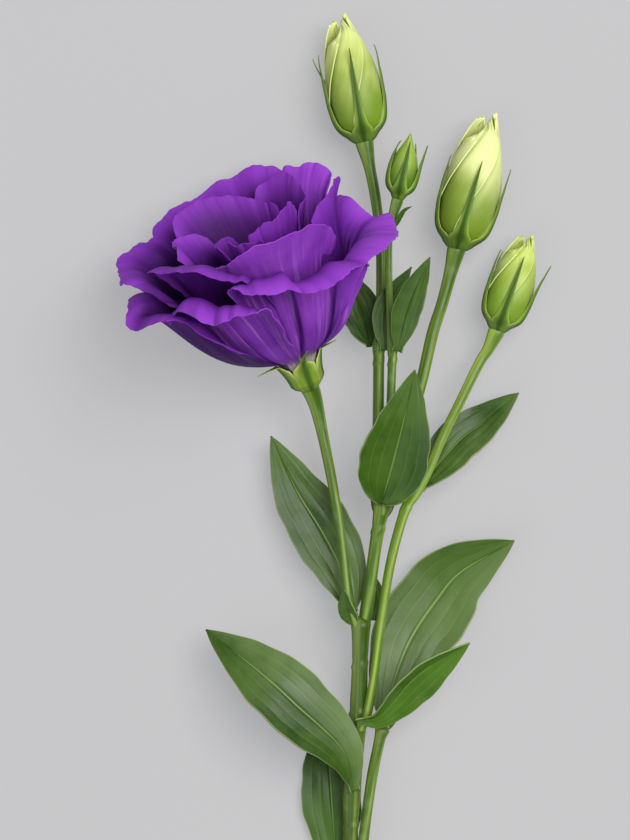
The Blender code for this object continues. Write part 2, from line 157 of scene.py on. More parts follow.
def piece(name, grids, finishes, node, thickness=0.0, wrap=False, weld=False):
    """A mesh of one or more grids of points, rows by columns, where a quad joins each four
    neighbours. The map holds how far across and along its grid each corner is, both from 0 to 1.
    The second finish, if there is one, is for the side that the faces don't look to."""
    points, quads, map_corners, start = [], [], [], 0
    for grid in grids:
        rows, columns = grid.shape[:2]
        index = start + np.arange(rows * columns).reshape(rows, columns)
        if wrap:
            index = np.hstack([index, index[:, :1]])
        across, along = np.meshgrid(np.linspace(0, 1, index.shape[1]), np.linspace(0, 1, rows))
        low, high = slice(None, -1), slice(1, None)
        corners = [(low, low), (low, high), (high, high), (high, low)]
        quads.append(np.stack([index[c] for c in corners], -1).reshape(-1, 4))
        map_corners.append(np.stack([np.stack([across[c], along[c]], -1) for c in corners],
                                    2).reshape(-1, 2))
        points.append(grid.reshape(-1, 3))
        start += rows * columns
    mesh = bpy.data.meshes.new(name)
    mesh.from_pydata(((np.vstack(points) + PLANT) * MM).tolist(), [], np.vstack(quads).tolist())
    mesh.uv_layers.new(name="UVMap").uv.foreach_set("vector", np.vstack(map_corners).ravel())
    mesh.shade_smooth()
    if weld:
        worked = bmesh.new()
        worked.from_mesh(mesh)
        bmesh.ops.remove_doubles(worked, verts=worked.verts, dist=WELD)
        worked.to_mesh(mesh)
        worked.free()
    obj = new_object(name, mesh)
    for finish in finishes:
        mesh.materials.append(finish)
    if thickness:
        solid = obj.modifiers.new("thickness", "SOLIDIFY")
        solid.thickness = thickness * MM
        solid.offset = 0
        solid.material_offset = len(finishes) - 1
        solid.material_offset_rim = 0
    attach(obj, "root")
    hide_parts(node)
    return obj


class Tone:
    """A socket of a material's nodes. Arithmetic on it adds Math nodes."""

    def __init__(self, finish, socket):
        self.finish, self.socket = finish, socket

    def math(self, operation, *values):
        return self.finish.node("Math", {"operation": operation}, dict(enumerate(values)))

    def __add__(self, other):
        return self.math("ADD", self, other)

    def __sub__(self, other):
        return self.math("SUBTRACT", self, other)

    def __rsub__(self, other):
        return self.math("SUBTRACT", other, self)

    def __mul__(self, other):
        return self.math("MULTIPLY", self, other)

    __radd__, __rmul__ = __add__, __mul__

    def size(self):
        return self.math("ABSOLUTE", self)


class Finish:
    """A material being made: its nodes, and the principled shader that they end in."""

    def __init__(self, name, roughness, **sockets):
        self.material = bpy.data.materials.new(name)
        self.material.use_nodes = True
        self.tree = self.material.node_tree
        self.shader = self.tree.nodes["Principled BSDF"]
        self.shader.inputs["Roughness"].default_value = roughness
        for socket, value in sockets.items():
            self.shader.inputs[socket.replace("_", " ")].default_value = value
        self.across, self.along, _ = self.parts(self.node("UVMap", {"uv_map": "UVMap"}, {}))
        self.spot = self.node("TexCoord", {}, {}, "Object")

    def node(self, kind, settings, values, output=0):
        """A node of that kind with its settings, then its sockets' values or links."""
        made = self.tree.nodes.new("ShaderNode" + kind)
        for key, value in settings.items():
            setattr(made, key, value)
        for key, value in values.items():
            self.put(made.inputs[key], value)
        return Tone(self, made.outputs[output])

    def put(self, socket, value):
        if isinstance(value, Tone):
            self.tree.links.new(value.socket, socket)
        else:
            socket.default_value = value

    def parts(self, vector):
        """The three numbers of a vector."""
        made = self.tree.nodes.new("ShaderNodeSeparateXYZ")
        self.put(made.inputs[0], vector)
        return [Tone(self, out) for out in made.outputs]

    def joined(self, x, y, z=0.0):
        """A vector of three numbers."""
        return self.node("CombineXYZ", {}, {0: x, 1: y, 2: z})

    def noise(self, vector, scale, detail=3.0, rough=0.5):
        """Noise from 0 to 1, about even between 0.3 and 0.7."""
        return self.node("TexNoise", {}, {"Vector": vector, "Scale": scale, "Detail": detail,
                                          "Roughness": rough})

    def streaks(self, across, along, detail=2, rough=0.5):
        """Noise that varies so many times across and along a piece."""
        place = self.joined(self.across * across, self.along * along)
        return self.noise(place, 1, detail, rough)

    def between(self, value, low, high, start=0.0, end=1.0):
        """A smooth step from start to end as value goes from low to high."""
        return self.node("MapRange", {"interpolation_type": "SMOOTHSTEP"},
                         {0: value, 1: low, 2: high, 3: start, 4: end})

    def mix(self, share, first, second):
        """The first colour turning to the second as share goes from 0 to 1."""
        first, second = [(*c, 1) if isinstance(c, tuple) else c for c in (first, second)]
        return self.node("Mix", {"data_type": "RGBA"}, {0: share, 6: first, 7: second}, 2)

    def done(self, colour, roughness=None, height=None, depth=0.0):
        """The material, once its colour, roughness and bump are joined to the shader."""
        self.put(self.shader.inputs["Base Color"], colour)
        if roughness is not None:
            self.put(self.shader.inputs["Roughness"], roughness)
        if height is not None:
            self.put(self.shader.inputs["Normal"],
                     self.node("Bump", {}, {"Strength": 1, "Distance": depth, "Height": height}))
        return self.material


def stem_finish(name, dark, light, bronze):
    """Green skin with paler lines along it, and patches of a waxy bloom and of bronze."""
    f = Finish(name, 0.45, Specular_IOR_Level=0.4)
    lines = f.streaks(6, 1.5)
    bloom = f.noise(f.spot, 260, 4)
    colour = f.mix(f.between(lines, 0.38, 0.64), dark, light)
    colour = f.mix(f.between(bloom, 0.5, 0.8, 0, 0.18), colour, STEM_WAX)
    patches = f.streaks(3, 5)
    colour = f.mix(f.between(patches, 0.56, 0.72, 0, bronze), colour, BRONZE)
    fine = f.streaks(60, 14)
    return f.done(colour, f.between(bloom, 0.3, 0.7, 0.32, 0.5), lines + fine * 0.3, STEM_BUMP)


STEM_FINISHES = {
    "old": stem_finish("stem_old_green", (0.036, 0.08, 0.003), (0.125, 0.19, 0.028), 0.5),
    "branch": stem_finish("stem_branch_green", (0.042, 0.1, 0.004), (0.175, 0.275, 0.036), 0.15),
    "young": stem_finish("stem_young_green", (0.085, 0.17, 0.006), (0.26, 0.37, 0.05), 0),
}


def stem(name, finish, collars, route):
    """Rings of the route's radius across its line, with four low ridges along it, a raised collar
    with a groove over it at each node, a flat lower end and a domed upper end."""
    line = smooth_route(route, STEM_STEP)
    first, last = line[:1], line[-1:]
    onward = np.append(unit(line[-1, :3] - line[-2, :3]), 0)
    line = np.vstack([first * [1, 1, 1, share] for share in FLAT_END] + [line]
                     + [last * [1, 1, 1, math.cos(a)] + onward * last[0, 3] * DOME * math.sin(a)
                        for a in np.radians(DOME_ANGLES)])
    centre, radius = line[:, :3], line[:, 3:]
    inner = centre[len(FLAT_END):-len(DOME_ANGLES)]
    along = unit(np.gradient(inner, axis=0))
    along = np.vstack([along[:1]] * len(FLAT_END) + [along] + [along[-1:]] * len(DOME_ANGLES))
    side = unit(np.cross(along, (0, 0, 1)))
    up = np.cross(side, along)
    turn = np.linspace(0, 2 * np.pi, STEM_SIDES, endpoint=False)[None, :]
    s = distances(centre)[:, None]
    ridges = (1 + RIDGE_HEIGHT * np.cos(4 * turn + 0.012 * s)
              + FINE_RIDGE_HEIGHT * np.sin(9 * turn - 0.02 * s))
    lean = COLLAR_LEAN * np.cos(turn)
    collar = sum((COLLAR_HEIGHT * bump_at(s, at + lean, COLLAR_WIDTH)
                  - GROOVE_DEPTH * bump_at(s, at + GROOVE_ABOVE + lean, GROOVE_WIDTH)
                  for at in collars), 0 * s)
    full = np.clip(radius / np.max(radius), 0, 1)
    across = radius * ridges + collar * (radius > THINNEST_WITH_COLLAR) * full
    grid = (centre[:, None] + side[:, None] * (across * np.cos(turn))[..., None]
            + up[:, None] * (across * np.sin(turn))[..., None])
    made = piece(f"{name}_skin", [grid], [STEM_FINISHES[finish]], name, wrap=True, weld=True)


for name, (finish, collars, route) in STEMS.items():
    stem(name, finish, collars, route)


# Leaves: ovate blades with no stalk, in pairs that clasp the nodes. They are fleshy, with a sunk
# midrib and arching side veins, a waxy grey-green bloom above and a paler underside.

LEAF_THICKNESS = 0.42
LEAF_ROWS, LEAF_COLUMNS = 110, 61
LEAF_STEP = 0.5
CLASP = 1.8  # how far a leaf's foot reaches into its node
FOOT_HALF_WIDTH = 1.4
SIDE_VEINS = (0.36, 0.66)  # how far out each is, as a share of half the width
MIDRIB_DEPTH = 0.34
SIDE_VEIN_DEPTH = 0.07
VEIN_WIDTH = 0.05  # as a share of half the width
PILLOW_HEIGHT = 0.12  # of the low swellings between the veins
FULL_SIZE = 5  # half the width from which veins and swellings have their full size
LEAF_BUMP = 0.00009
LEAF_WAX = (0.122, 0.19, 0.06)
LEAF_RIM = (0.32, 0.42, 0.16)

LEAVES = {
    # name: the midrib's route, the width and how far up it is widest, the direction that the leaf
    # faces, how much its halves fold up and its edges wave, and its finish
    "leaf_lower_left": ([
        (10.3, -99.2, 10), (7.4, -89.3, 13), (-5.4, -76.5, 16.5), (-14, -68.8, 15.5),
        (-29.6, -57, 10)],
        18.5, 0.5, (0.15, 0.3, 1), 0.12, 0.06, "grey"),
    "leaf_lower_behind": ([
        (6.2, -121.5, 2.6), (5.2, -113, 1.7), (3.6, -92.5, 1.3), (1, -79, 1.2)],
        16.5, 0.45, (0, 0, 1), 0.06, 0.03, "deep"),
    "leaf_right_large": ([
        (18.9, -81.8, 10.4), (21, -72.8, 8), (25.9, -60.3, 5.4), (33.6, -48.8, 4.4),
        (40.3, -41.2, 5), (54.3, -32.9, 8)],
        22.5, 0.5, (-0.1, -0.1, 1), 0.12, 0.05, "grey"),
    "leaf_right_folded": ([
        (13, -81, 12.4), (16.5, -80.6, 13), (20.6, -76.8, 13.8), (26, -70.6, 16), (32, -65.6, 18),
        (41.6, -59.9, 19)],
        13, 0.5, (0.35, -0.6, 0.7), 0.45, 0.03, "fresh"),
    "leaf_fork_front": ([
        (18.4, -20.9, 17.6), (21.2, -10.2, 22.4), (23.7, 0, 26), (26.6, 13.3, 28)],
        18.5, 0.34, (0, -0.3, 1), 0.14, 0.04, "deep"),
    "leaf_fork_behind": ([
        (18.4, -21.2, 8.6), (19.5, -10, 5), (21, 2, 2.6)],
        11, 0.42, (0, 0.2, 1), 0.1, 0.02, "deep"),
    "leaf_side_shoot": ([
        (29.5, -17.6, 10.6), (38.7, -6.3, 7.2), (45.8, -0.8, 6), (55.6, 7.4, 6.4)],
        12.5, 0.46, (-0.2, 0.2, 1), 0.2, 0.04, "grey"),
    "leaf_behind_stalk": ([
        (9.8, -50.6, 9), (7.8, -42.5, 7.4), (2.5, -31.5, 5.8), (-5.3, -18.7, 5.2),
        (-12, -4.4, 6.4)],
        17.4, 0.44, (0.1, 0.1, 1), 0.12, 0.03, "grey"),
    "leaf_behind_flower": ([
        (14.8, 21.6, 8), (12.3, 30.3, 5.2), (7.5, 42, 2.6)],
        11, 0.42, (0.1, 0.1, 1), 0.12, 0.03, "deep"),
    "leaf_small_bud_front": ([
        (22.6, 20.2, 17.8), (25.2, 30.8, 21.6), (30.7, 43.5, 24)],
        7.8, 0.45, (-0.2, -0.2, 1), 0.16, 0.03, "deep"),
    "leaf_small_bud_left": ([
        (19, 20.6, 13), (19.2, 30, 13.2), (26.1, 41.4, 14)],
        6.6, 0.42, (0, 0, 1), 0.1, 0.03, "deep"),
    "leaf_axil_small": ([
        (16, -52.8, 8.6), (16.6, -47.5, 7), (16.4, -42.5, 6)],
        4.6, 0.45, (0, 0.1, 1), 0.15, 0.02, "deep"),
    "bract_small_bud": ([
        (22.3, 53.3, 18.4), (23.8, 56, 19.2), (26.1, 57.4, 20)],
        1.6, 0.4, (-0.4, 0.4, 1), 0.2, 0, "fresh"),
}

LEAFLETS = {
    # small round leaves in the forks: name, the node of the leaf beside it, and sizes as above
    "leaflet_first_fork": ("leaf_axil_small", [
        (10.4, -54.4, 12.6), (8.6, -51, 14), (7.9, -45.8, 14.6)],
        4.8, 0.45, (-0.4, 0, 1), 0.3, 0.03, "deep"),
    "leaflet_main_node": ("leaf_right_folded", [
        (18.6, -83.4, 9.6), (20.4, -81, 10), (20.4, -77.4, 10.2)],
        3.6, 0.45, (0.4, 0, 1), 0.3, 0.02, "deep"),
}


def leaf_finish(name, dark, light, bloom_share, vein, roughness):
    """Green mottled with a waxy bloom, with pale lines along the midrib, side veins and edge."""
    f = Finish(name, roughness, Specular_IOR_Level=0.26)
    off_middle = (f.across - 0.5).size() * 2
    mottle = f.noise(f.spot, 130, 4, 0.6)
    broad = f.noise(f.spot, 38, 2)
    colour = f.mix(f.between(broad * 0.6 + mottle * 0.4, 0.36, 0.62), dark, light)
    bloom = f.noise(f.spot, 16, 2) + (f.across - 0.5) * 0.35 + (mottle - 0.5) * 0.15
    colour = f.mix(f.between(bloom, 0.35, 0.75, 0, bloom_share), colour, LEAF_WAX)
    line = f.between(off_middle, 0.018, 0.05, 0.65, 0)
    for at in SIDE_VEINS:
        line = line + f.between((off_middle - at).size(), 0, 0.022, 0.22, 0) * f.between(
            f.along, 0.5, 0.95, 1, 0)
    colour = f.mix(line, colour, vein)
    colour = f.mix(f.between(off_middle, 0.96, 0.99, 0, 0.45), colour, LEAF_RIM)
    fine = f.streaks(24, 14, 4, 0.6)
    return f.done(colour, f.between(mottle, 0.35, 0.7, roughness - 0.08, roughness + 0.12),
                  mottle + fine * 0.4, LEAF_BUMP)


LEAF_FINISHES = {
    # the upper side, and the under side
    name: (leaf_finish(f"leaf_{name}_green", *upper), leaf_finish(f"leaf_under_{name}", *under))
    for name, upper, under in (
        ("grey",
         ((0.016, 0.049, 0.002), (0.042, 0.092, 0.006), 0.6, (0.2, 0.3, 0.09), 0.38),
         ((0.055, 0.108, 0.022), (0.11, 0.175, 0.055), 0.5, (0.26, 0.36, 0.14), 0.55)),
        ("deep",
         ((0.015, 0.05, 0.002), (0.039, 0.095, 0.004), 0.18, (0.14, 0.25, 0.04), 0.38),
         ((0.045, 0.1, 0.014), (0.09, 0.16, 0.038), 0.3, (0.22, 0.32, 0.11), 0.55)),
        ("fresh",
         ((0.021, 0.07, 0.001), (0.054, 0.143, 0.004), 0.12, (0.24, 0.38, 0.05), 0.36),
         ((0.07, 0.15, 0.018), (0.14, 0.25, 0.045), 0.2, (0.28, 0.4, 0.11), 0.5)),
    )
}


def leaf(name, node, midrib, width, widest, face, fold, wave, finish):
    """Points across a midrib: half the width times the sine of how far up, with the halves raised
    by the fold and rippled by the wave, sunk along the veins and swollen between them."""
    start = np.asarray(midrib[0], float)
    held = start - CLASP * unit(midrib[1] - start)
    line = smooth_route([held, *midrib[1:]], LEAF_STEP)
    length = distances(line)
    v = np.linspace(0, 1, LEAF_ROWS)
    spine = np.stack([np.interp(v * length[-1], length, line[:, k]) for k in range(3)], axis=-1)
    along = unit(np.gradient(spine, axis=0))
    side = unit(np.cross(along, face))
    up = np.cross(side, along)
    power = math.log(0.5) / math.log(widest)
    shape = np.sin(np.pi * np.clip(v, 0, 0.9995) ** power) ** 0.85
    foot = min(FOOT_HALF_WIDTH, width / 5) * np.clip(1 - v / 0.9, 0.04, 1) ** 0.5
    half = np.maximum(width / 2 * shape, foot)
    u = np.linspace(-1, 1, LEAF_COLUMNS)
    vv, uu = np.meshgrid(v, u, indexing="ij")
    uneven = 1 + 0.018 * np.sin(23 * vv + 1.3 * np.sign(uu)) + 0.012 * np.sin(41 * vv)
    lift = (fold * np.abs(uu) ** 1.3 + wave * np.sin(3 * np.pi * vv + 2.2 * uu) * uu**2
            + 0.5 * np.exp(-vv / 0.05) * uu**2)
    rise = half[:, None] * lift
    grown = np.clip(half[:, None] / FULL_SIZE, 0, 1)
    rise -= MIDRIB_DEPTH * grown * bump_at(uu, 0, VEIN_WIDTH)
    for at in SIDE_VEINS:
        rise -= SIDE_VEIN_DEPTH * grown * bump_at(np.abs(uu), at, VEIN_WIDTH)
    pillows = np.sin(9 * vv + 3 * uu) * np.sin(7 * uu + 4 * vv) * (1 - uu**2)
    rise += PILLOW_HEIGHT * grown * pillows
    grid = (spine[:, None] + side[:, None] * (half[:, None] * uu * uneven)[..., None]
            + up[:, None] * rise[..., None])
    thickness = min(LEAF_THICKNESS, width / 12)
    made = piece(f"{name}_blade", [grid], LEAF_FINISHES[finish], node, thickness)


for name, leaf_sizes in LEAVES.items():
    leaf(name, name, *leaf_sizes)
for name, (node, *leaf_sizes) in LEAFLETS.items():
    leaf(name, node, *leaf_sizes)


# Buds: five petals wrapped round each other like a closed umbrella, still pale yellow-green, green
# at the foot, with a twisted frilly tip. The smallest is tight and green, and is made as one shape.

BUD_PETAL_THICKNESS = 0.3
BUD_ROWS, BUD_COLUMNS = 90, 49
TIGHT_ROWS, TIGHT_COLUMNS = 70, 60
BUD_FOOT = 1.7  # how far up the calyx's base the petals begin
BUD_HALF_ANGLE = math.radians(50)  # how far round the bud half a petal reaches
BUD_TWIST = 1.9  # radians that a petal turns from its foot to the tip
BUD_PITCH = 0.4  # how much further out its right edge lies than its middle
BUD_TOPS = (1, 0.88, 0.96, 0.83, 0.93)  # how far up the bud each petal ends
BUD_FOLDED_TOPS = (1, 3, 4)  # the petals whose tops close the bud
BUD_WAVES_FOR = 7.4  # the widest radius that the waves' heights are given for
BUD_BUMP = 0.00004
BUD_EDGE = (0.76, 0.8, 0.42)

BUDS = {
    # name: base, tip, widest radius, sepal length, cup height, flare of each sepal's tip
    "top_bud": ((13.4, 75.9, 7.8), (6.5, 110.3, 8.2), 7.4, 25, 2.6, (1, 2.2, 0.5, 3.4, 2.4)),
    "large_bud": ((38.6, 46.8, 8), (47.7, 83.7, 8.4), 7.8, 24, 2.8, (0.8, 2.4, 0.4, 0.4, 1)),
    "side_bud": ((49.6, 24.5, 6.8), (58.2, 50.6, 7.2), 6, 21, 2.4, (0.8, 4.5, 0.6, 0.6, 2)),
    "small_bud": ((22.3, 59.6, 17), (25.8, 77.2, 18), 3.9, 15.5, 2.2, (0.1, 3.2, 0.1, 0.1, 0.1)),
}


def frame_on(base, tip):
    """The unit axis from base to tip, and the directions across it that face front and right."""
    axis = unit(np.subtract(tip, base))
    front = unit(np.array([0, 0, 1]) - axis[2] * axis)
    return axis, front, np.cross(front, -axis)


def turned(base, axes, radius, angle, height):
    """Points at a radius, angle and height round an axis. Angle 0 faces front, 90 degrees right."""
    axis, front, right = axes
    return (np.asarray(base) + axis * height[..., None]
            + front * (radius * np.cos(angle))[..., None]
            + right * (radius * np.sin(angle))[..., None])


def net(rows, columns):
    """For a grid of points, how far up each is, from 0 to 1, and how far across, from -1 to 1."""
    return np.meshgrid(np.linspace(0, 1, rows), np.linspace(-1, 1, columns), indexing="ij")


def bud_radius(t, widest):
    """The bud's outline: a rounded foot, widest a third of the way up, and a narrow twisted tip."""
    stops = [0, 0.05, 0.1, 0.16, 0.28, 0.45, 0.62, 0.76, 0.87, 0.95, 1]
    sizes = [0.38, 0.7, 0.85, 0.93, 1, 0.97, 0.85, 0.65, 0.44, 0.3, 0.24]
    fine = np.linspace(0, 1, 101)
    steady = np.interp(fine, stops, sizes)
    smooth = np.convolve(np.pad(steady, 5, mode="edge"), np.hanning(13)[1:-1] / 6, mode="valid")
    return widest * np.interp(t, fine, smooth)


def bud_finish(name, foot, dark, pale, foot_share):
    """Yellow-green petal, green at the foot, with a band of painted shade in green where the next
    petal's edge lies over it, faint lines along it and a paler free edge."""
    f = Finish(name, 0.5, Specular_IOR_Level=0.35, Subsurface_Weight=0.12, Subsurface_Scale=0.002)
    lines = f.streaks(9, 1.2, 3)
    cloud = f.noise(f.spot, 60, 2)
    colour = f.mix(f.between(lines * 0.15 + cloud * 0.85, 0.3, 0.6), dark, pale)
    climb = f.along + (lines - 0.5) * 0.12 + (cloud - 0.5) * 0.4
    colour = f.mix(f.between(climb, foot_share * 0.35, foot_share * 1.6, 1, 0), colour, foot)
    # painted shade: a green band where the edge of the next petal lies over this one
    painted_seam_shade = f.between((f.across - 0.72).size(), 0, 0.09, 0.45, 0)
    colour = f.mix(painted_seam_shade, colour, foot)
    colour = f.mix(f.between(f.across, 0.03, 0, 0, 0.5), colour, BUD_EDGE)
    fine = f.streaks(50, 5)
    return f.done(colour, None, lines + fine * 0.3, BUD_BUMP)


BUD_FINISHES = {
    bud: bud_finish(f"bud_{look}", *colours)
    for bud, look, *colours in (
        ("top_bud", "pale", (0.15, 0.25, 0.012), (0.43, 0.51, 0.11), (0.7, 0.74, 0.31), 0.5),
        ("large_bud", "cream", (0.15, 0.24, 0.014), (0.42, 0.5, 0.11), (0.68, 0.72, 0.3), 0.46),
        ("side_bud", "fresh", (0.15, 0.26, 0.014), (0.34, 0.45, 0.055), (0.58, 0.66, 0.19), 0.52),
        ("small_bud", "tight", (0.08, 0.165, 0.01), (0.15, 0.26, 0.016), (0.28, 0.41, 0.05), 0.5),
    )
}


def bud_petal(name, base, tip, widest, number, finish):
    """One wrapped petal on the bud's outline: its right edge lies over the next petal, its left
    edge under the last, the wrap turns towards the tip, and the top frills and folds in."""
    length = np.linalg.norm(np.subtract(tip, base))
    s, u = net(BUD_ROWS, BUD_COLUMNS)
    t = s * BUD_TOPS[number] * (1 - 0.06 * np.abs(u) ** 2.5)
    turn = BUD_TWIST * t**1.2
    angle = math.radians(72) * number + turn + BUD_HALF_ANGLE * u * (1 - 0.3 * t**6)
    fluting = 0.2 * np.sin(4 * u + 4 * t) * np.sin(np.pi * t)
    fluting = fluting * np.clip(t * 4, 0, 1) * (1 - t) ** 0.5
    frill = s**14 * (0.6 * np.sin(5 * u + 1.7 * number) + 0.2 * np.sin(13 * u + number))
    lip = 0.2 * bump_at(u, 1, 0.06) * (1 - s) ** 0.3
    outward = widest / BUD_WAVES_FOR * (BUD_PITCH * u + fluting + frill + lip)
    closing = np.clip((s - 0.92) / 0.08, 0, 1) ** 1.5
    folded = 0.8 if number in BUD_FOLDED_TOPS else 0.25
    radius = bud_radius(t, widest) * (1 - folded * closing)
    height = BUD_FOOT + (length - BUD_FOOT) * t
    slope = np.arctan2(np.gradient(radius, axis=0), np.gradient(height, axis=0))
    peak = 0.35 * s**12 * np.sin(19 * u + number)
    grid = turned(base, frame_on(base, tip), radius + outward * np.cos(slope), angle,
                  height - outward * np.sin(slope) + peak)
    made = piece(f"{name}_wrap_{number + 1}", [grid[:, ::-1]], [finish],
                 f"{name}_petal_{number + 1}", BUD_PETAL_THICKNESS)


def tight_bud(name, base, tip, widest, finish):
    """A small bud on the same outline, with five low ribs that turn towards the tip."""
    length = np.linalg.norm(np.subtract(tip, base))
    t, angle = np.meshgrid(np.linspace(0, 1, TIGHT_ROWS),
                           np.linspace(0, 2 * np.pi, TIGHT_COLUMNS, endpoint=False),
                           indexing="ij")
    ends = np.clip(np.minimum(t, 1 - t) * 70, 0, 1)
    ribs = (1 + 0.05 * np.abs(np.cos(2.5 * (angle - 1.2 * t))) - 0.03) * (1 - 0.75 * t**4)
    grid = turned(base, frame_on(base, tip), bud_radius(t, widest) * ribs * ends, angle,
                  BUD_FOOT + (length - BUD_FOOT) * t)
    made = piece(f"{name}_body", [grid[:, ::-1]], [finish], name, wrap=True, weld=True)


for name, (base, tip, widest, *_) in BUDS.items():
    if name == "small_bud":
        tight_bud(name, base, tip, widest, BUD_FINISHES[name])
    else:
        for number in range(5):
            bud_petal(name, base, tip, widest, number, BUD_FINISHES[name])


# Calyx of each bud and of the flower: five sepals joined low down by a thin pale skin, each with a
# dark keel down its back and a long awl-shaped tip. The stalk swells into its foot.

SEPAL_THICKNESS = 0.24
SEPAL_ROWS, SEPAL_COLUMNS = 80, 21
SEPAL_SWAY = (0.1, -0.1, -0.2, 0.7, 0.15)  # radians that each tip leans sideways
KEEL_HEIGHT, KEEL_WIDTH = 0.38, 0.36
SEPAL_CUPPING = 0.25  # how far a sepal's edges bend in
CALYX_CLEARANCE = 0.1  # between it and the petals, as a share of the bud's widest radius
CALYX_FOOT_RADIUS = 0.22  # in the same share
CALYX_FOOT_HEIGHT = 1.2
CALYX_FOOT_DROP = 0.4
BUD_CALYX_TURN = math.radians(-36)
SEPAL_BUMP = 0.0002


def sepal_finish(name, dark, light, skin):
    """Dark green along the keel, lighter beside it, and pale thin skin between the sepals."""
    f = Finish(name, 0.48, Specular_IOR_Level=0.35)
    off_keel = (f.across - 0.5).size() * 2
    mottle = f.noise(f.spot, 240, 3)
    colour = f.mix(f.between(off_keel + (mottle - 0.5) * 0.3, 0.05, 0.5), dark, light)
    joined = f.between(off_keel, 0.45, 0.9) * f.between(f.along, 0.28, 0.5) * f.between(
        f.along, 0.55, 0.75, 1, 0)
    colour = f.mix(joined, colour, skin)
    colour = f.mix(f.between(off_keel, 0.93, 1, 0, 0.5), colour, skin)
    lines = f.streaks(16, 3, 3)
    return f.done(colour, None, lines, SEPAL_BUMP)


SEPAL_FINISH = sepal_finish("sepal_green", (0.032, 0.082, 0.004), (0.1, 0.19, 0.012),
                            (0.24, 0.36, 0.045))
FLOWER_SEPAL_FINISH = sepal_finish("sepal_olive", (0.045, 0.105, 0.005), (0.17, 0.27, 0.02),
                                   (0.44, 0.54, 0.13))


def calyx(name, base, axes, outline, lobes_from, lengths, flare, turn, finish):
    """Five sepals side by side. Each is a strip up the outline: a fifth of the way round nearly as
    far as lobes_from, then narrowing to its tip, with a rounded keel raised along its middle."""
    grids = []
    for number, length in enumerate(lengths):
        centre = turn + (2 * number + 1) * math.pi / 5
        v, w = net(SEPAL_ROWS, SEPAL_COLUMNS)
        lobe = length - lobes_from
        distance = np.where(v < 0.5, 2 * v * lobes_from, lobes_from + (2 * v - 1) * lobe)
        rise = np.clip((distance - lobes_from) / lobe, 0, 1)
        radius, _ = outline(distance, centre + 0 * v)
        free = 1.2 * np.exp(-rise / 0.08) + 1.6 * (1 - rise) ** 1.3 + 0.08
        joined = radius * math.pi / 5
        share = np.clip((distance - lobes_from * 0.75) / max(lobes_from * 0.5, 2), 0, 1)
        share = share * share * (3 - 2 * share)
        half = joined + (np.minimum(free, joined) - joined) * share
        angle = centre + w * half / np.maximum(radius, 0.3) + SEPAL_SWAY[number] * rise**2
        radius, height = outline(distance, angle)
        keel = (KEEL_HEIGHT * bump_at(w * half, 0, KEEL_WIDTH) * np.clip(distance / 4, 0.25, 1)
                * (1 - rise) ** 0.3)
        cupped = -SEPAL_CUPPING * np.abs(w) ** 3 * share * (1 - rise)
        reach = radius + keel + cupped + flare[number] * rise**3
        grids.append(turned(base, axes, reach, angle, height)[:, ::-1])
    made = piece(f"{name}_sepals", grids, [finish], name, SEPAL_THICKNESS, weld=True)


for name, (base, tip, widest, sepal, cup_height, flare) in BUDS.items():
    bud_length = np.linalg.norm(np.subtract(tip, base))

    def bud_outline(distance, angle):
        """The bud's own outline, moved out to clear its petals, with a foot that closes on the
        stalk."""
        up = np.clip(distance - CALYX_FOOT_HEIGHT, 0, None) / (bud_length - CALYX_FOOT_HEIGHT)
        opened = np.clip(distance / CALYX_FOOT_HEIGHT, 0, 1)
        radius = bud_radius(up, widest) + CALYX_CLEARANCE * widest
        foot = widest * CALYX_FOOT_RADIUS
        return foot + (radius - foot) * opened**0.6, distance - CALYX_FOOT_DROP * (1 - opened)

    calyx(f"{name}_calyx", base, frame_on(base, tip), bud_outline, cup_height, [sepal] * 5,
          flare, BUD_CALYX_TURN, SEPAL_FINISH)


# Open flower: violet petals in four layers, each overlapping the next, that rise in a cup and roll
# out at their ruffled rims. They are thin and soft, pale at the foot, with fine veins fanning out
# to the rim, and grow from the top of the stalk, inside the calyx.

FLOWER_BASE = np.array([-2.2, 10.8, 14.8])
FLOWER_LEAN = math.radians(22)
FLOWER_RISE = math.radians(28)
FLOWER_AXES = frame_on(np.zeros(3), (-math.sin(FLOWER_LEAN) * math.cos(FLOWER_RISE),
                                     math.cos(FLOWER_LEAN) * math.cos(FLOWER_RISE),
                                     math.sin(FLOWER_RISE)))
PETAL_THICKNESS = 0.28
PETAL_ROWS, PETAL_COLUMNS = 90, 141
CLAW = 0.14  # the share of a petal that is its narrow foot
FRONT_STEEPER = 32  # degrees by which a petal's belly is steeper at the front and back
FRONT_SHORTER = 0.12  # and how much shorter the belly is, as a share of the petal's length
RIM_POWER = 12  # how fast the frill and the notches fade down from the rim
PETAL_BUMP = 0.00012
PETAL_STREAK = (0.5, 0.24, 0.66)
PETAL_FOOT = (0.46, 0.44, 0.3)
USUAL_REACH = 0.3  # of a petal's angle at the rim, as a share of its length, where none is given

LAYERS = {
    # layer: radius and height of the foot and of the neck over it, the angle from the axis that a
    # petal leaves the neck at, and how far it keeps to that, as a share of the petal's length
    "outer": ((3.9, 0.8), (6, 9.2), 80, 0.56),
    "second": ((3.1, 3), (5.2, 10.5), 72, 0.42),
    "third": ((2.3, 4.8), (4.2, 11), 62, 0.3),
    "heart": ((1.3, 6.5), (2.4, 12), 30, 0.25),
}

RIM_WAVES = {
    # kind: for each of two sine waves along the rim its height, radians a millimetre, and shift
    # with the slow wave and with the petal's phase; then how strong they are, and the slow wave's
    # part in that
    "pleats": ((0.04, 0.8, 2.2, 1), (0.04, 1.3, -3, 0), 0.5, 0.5),
    "frill": ((0.18, 1.35, 3.5, 1), (0.09, 2.7, 4, 0), 0.75, 0.5),
    "notches": ((0.16, 1.1, 4, 0), (0.12, 2.6, -5, 1), 0.7, 0.6),
}

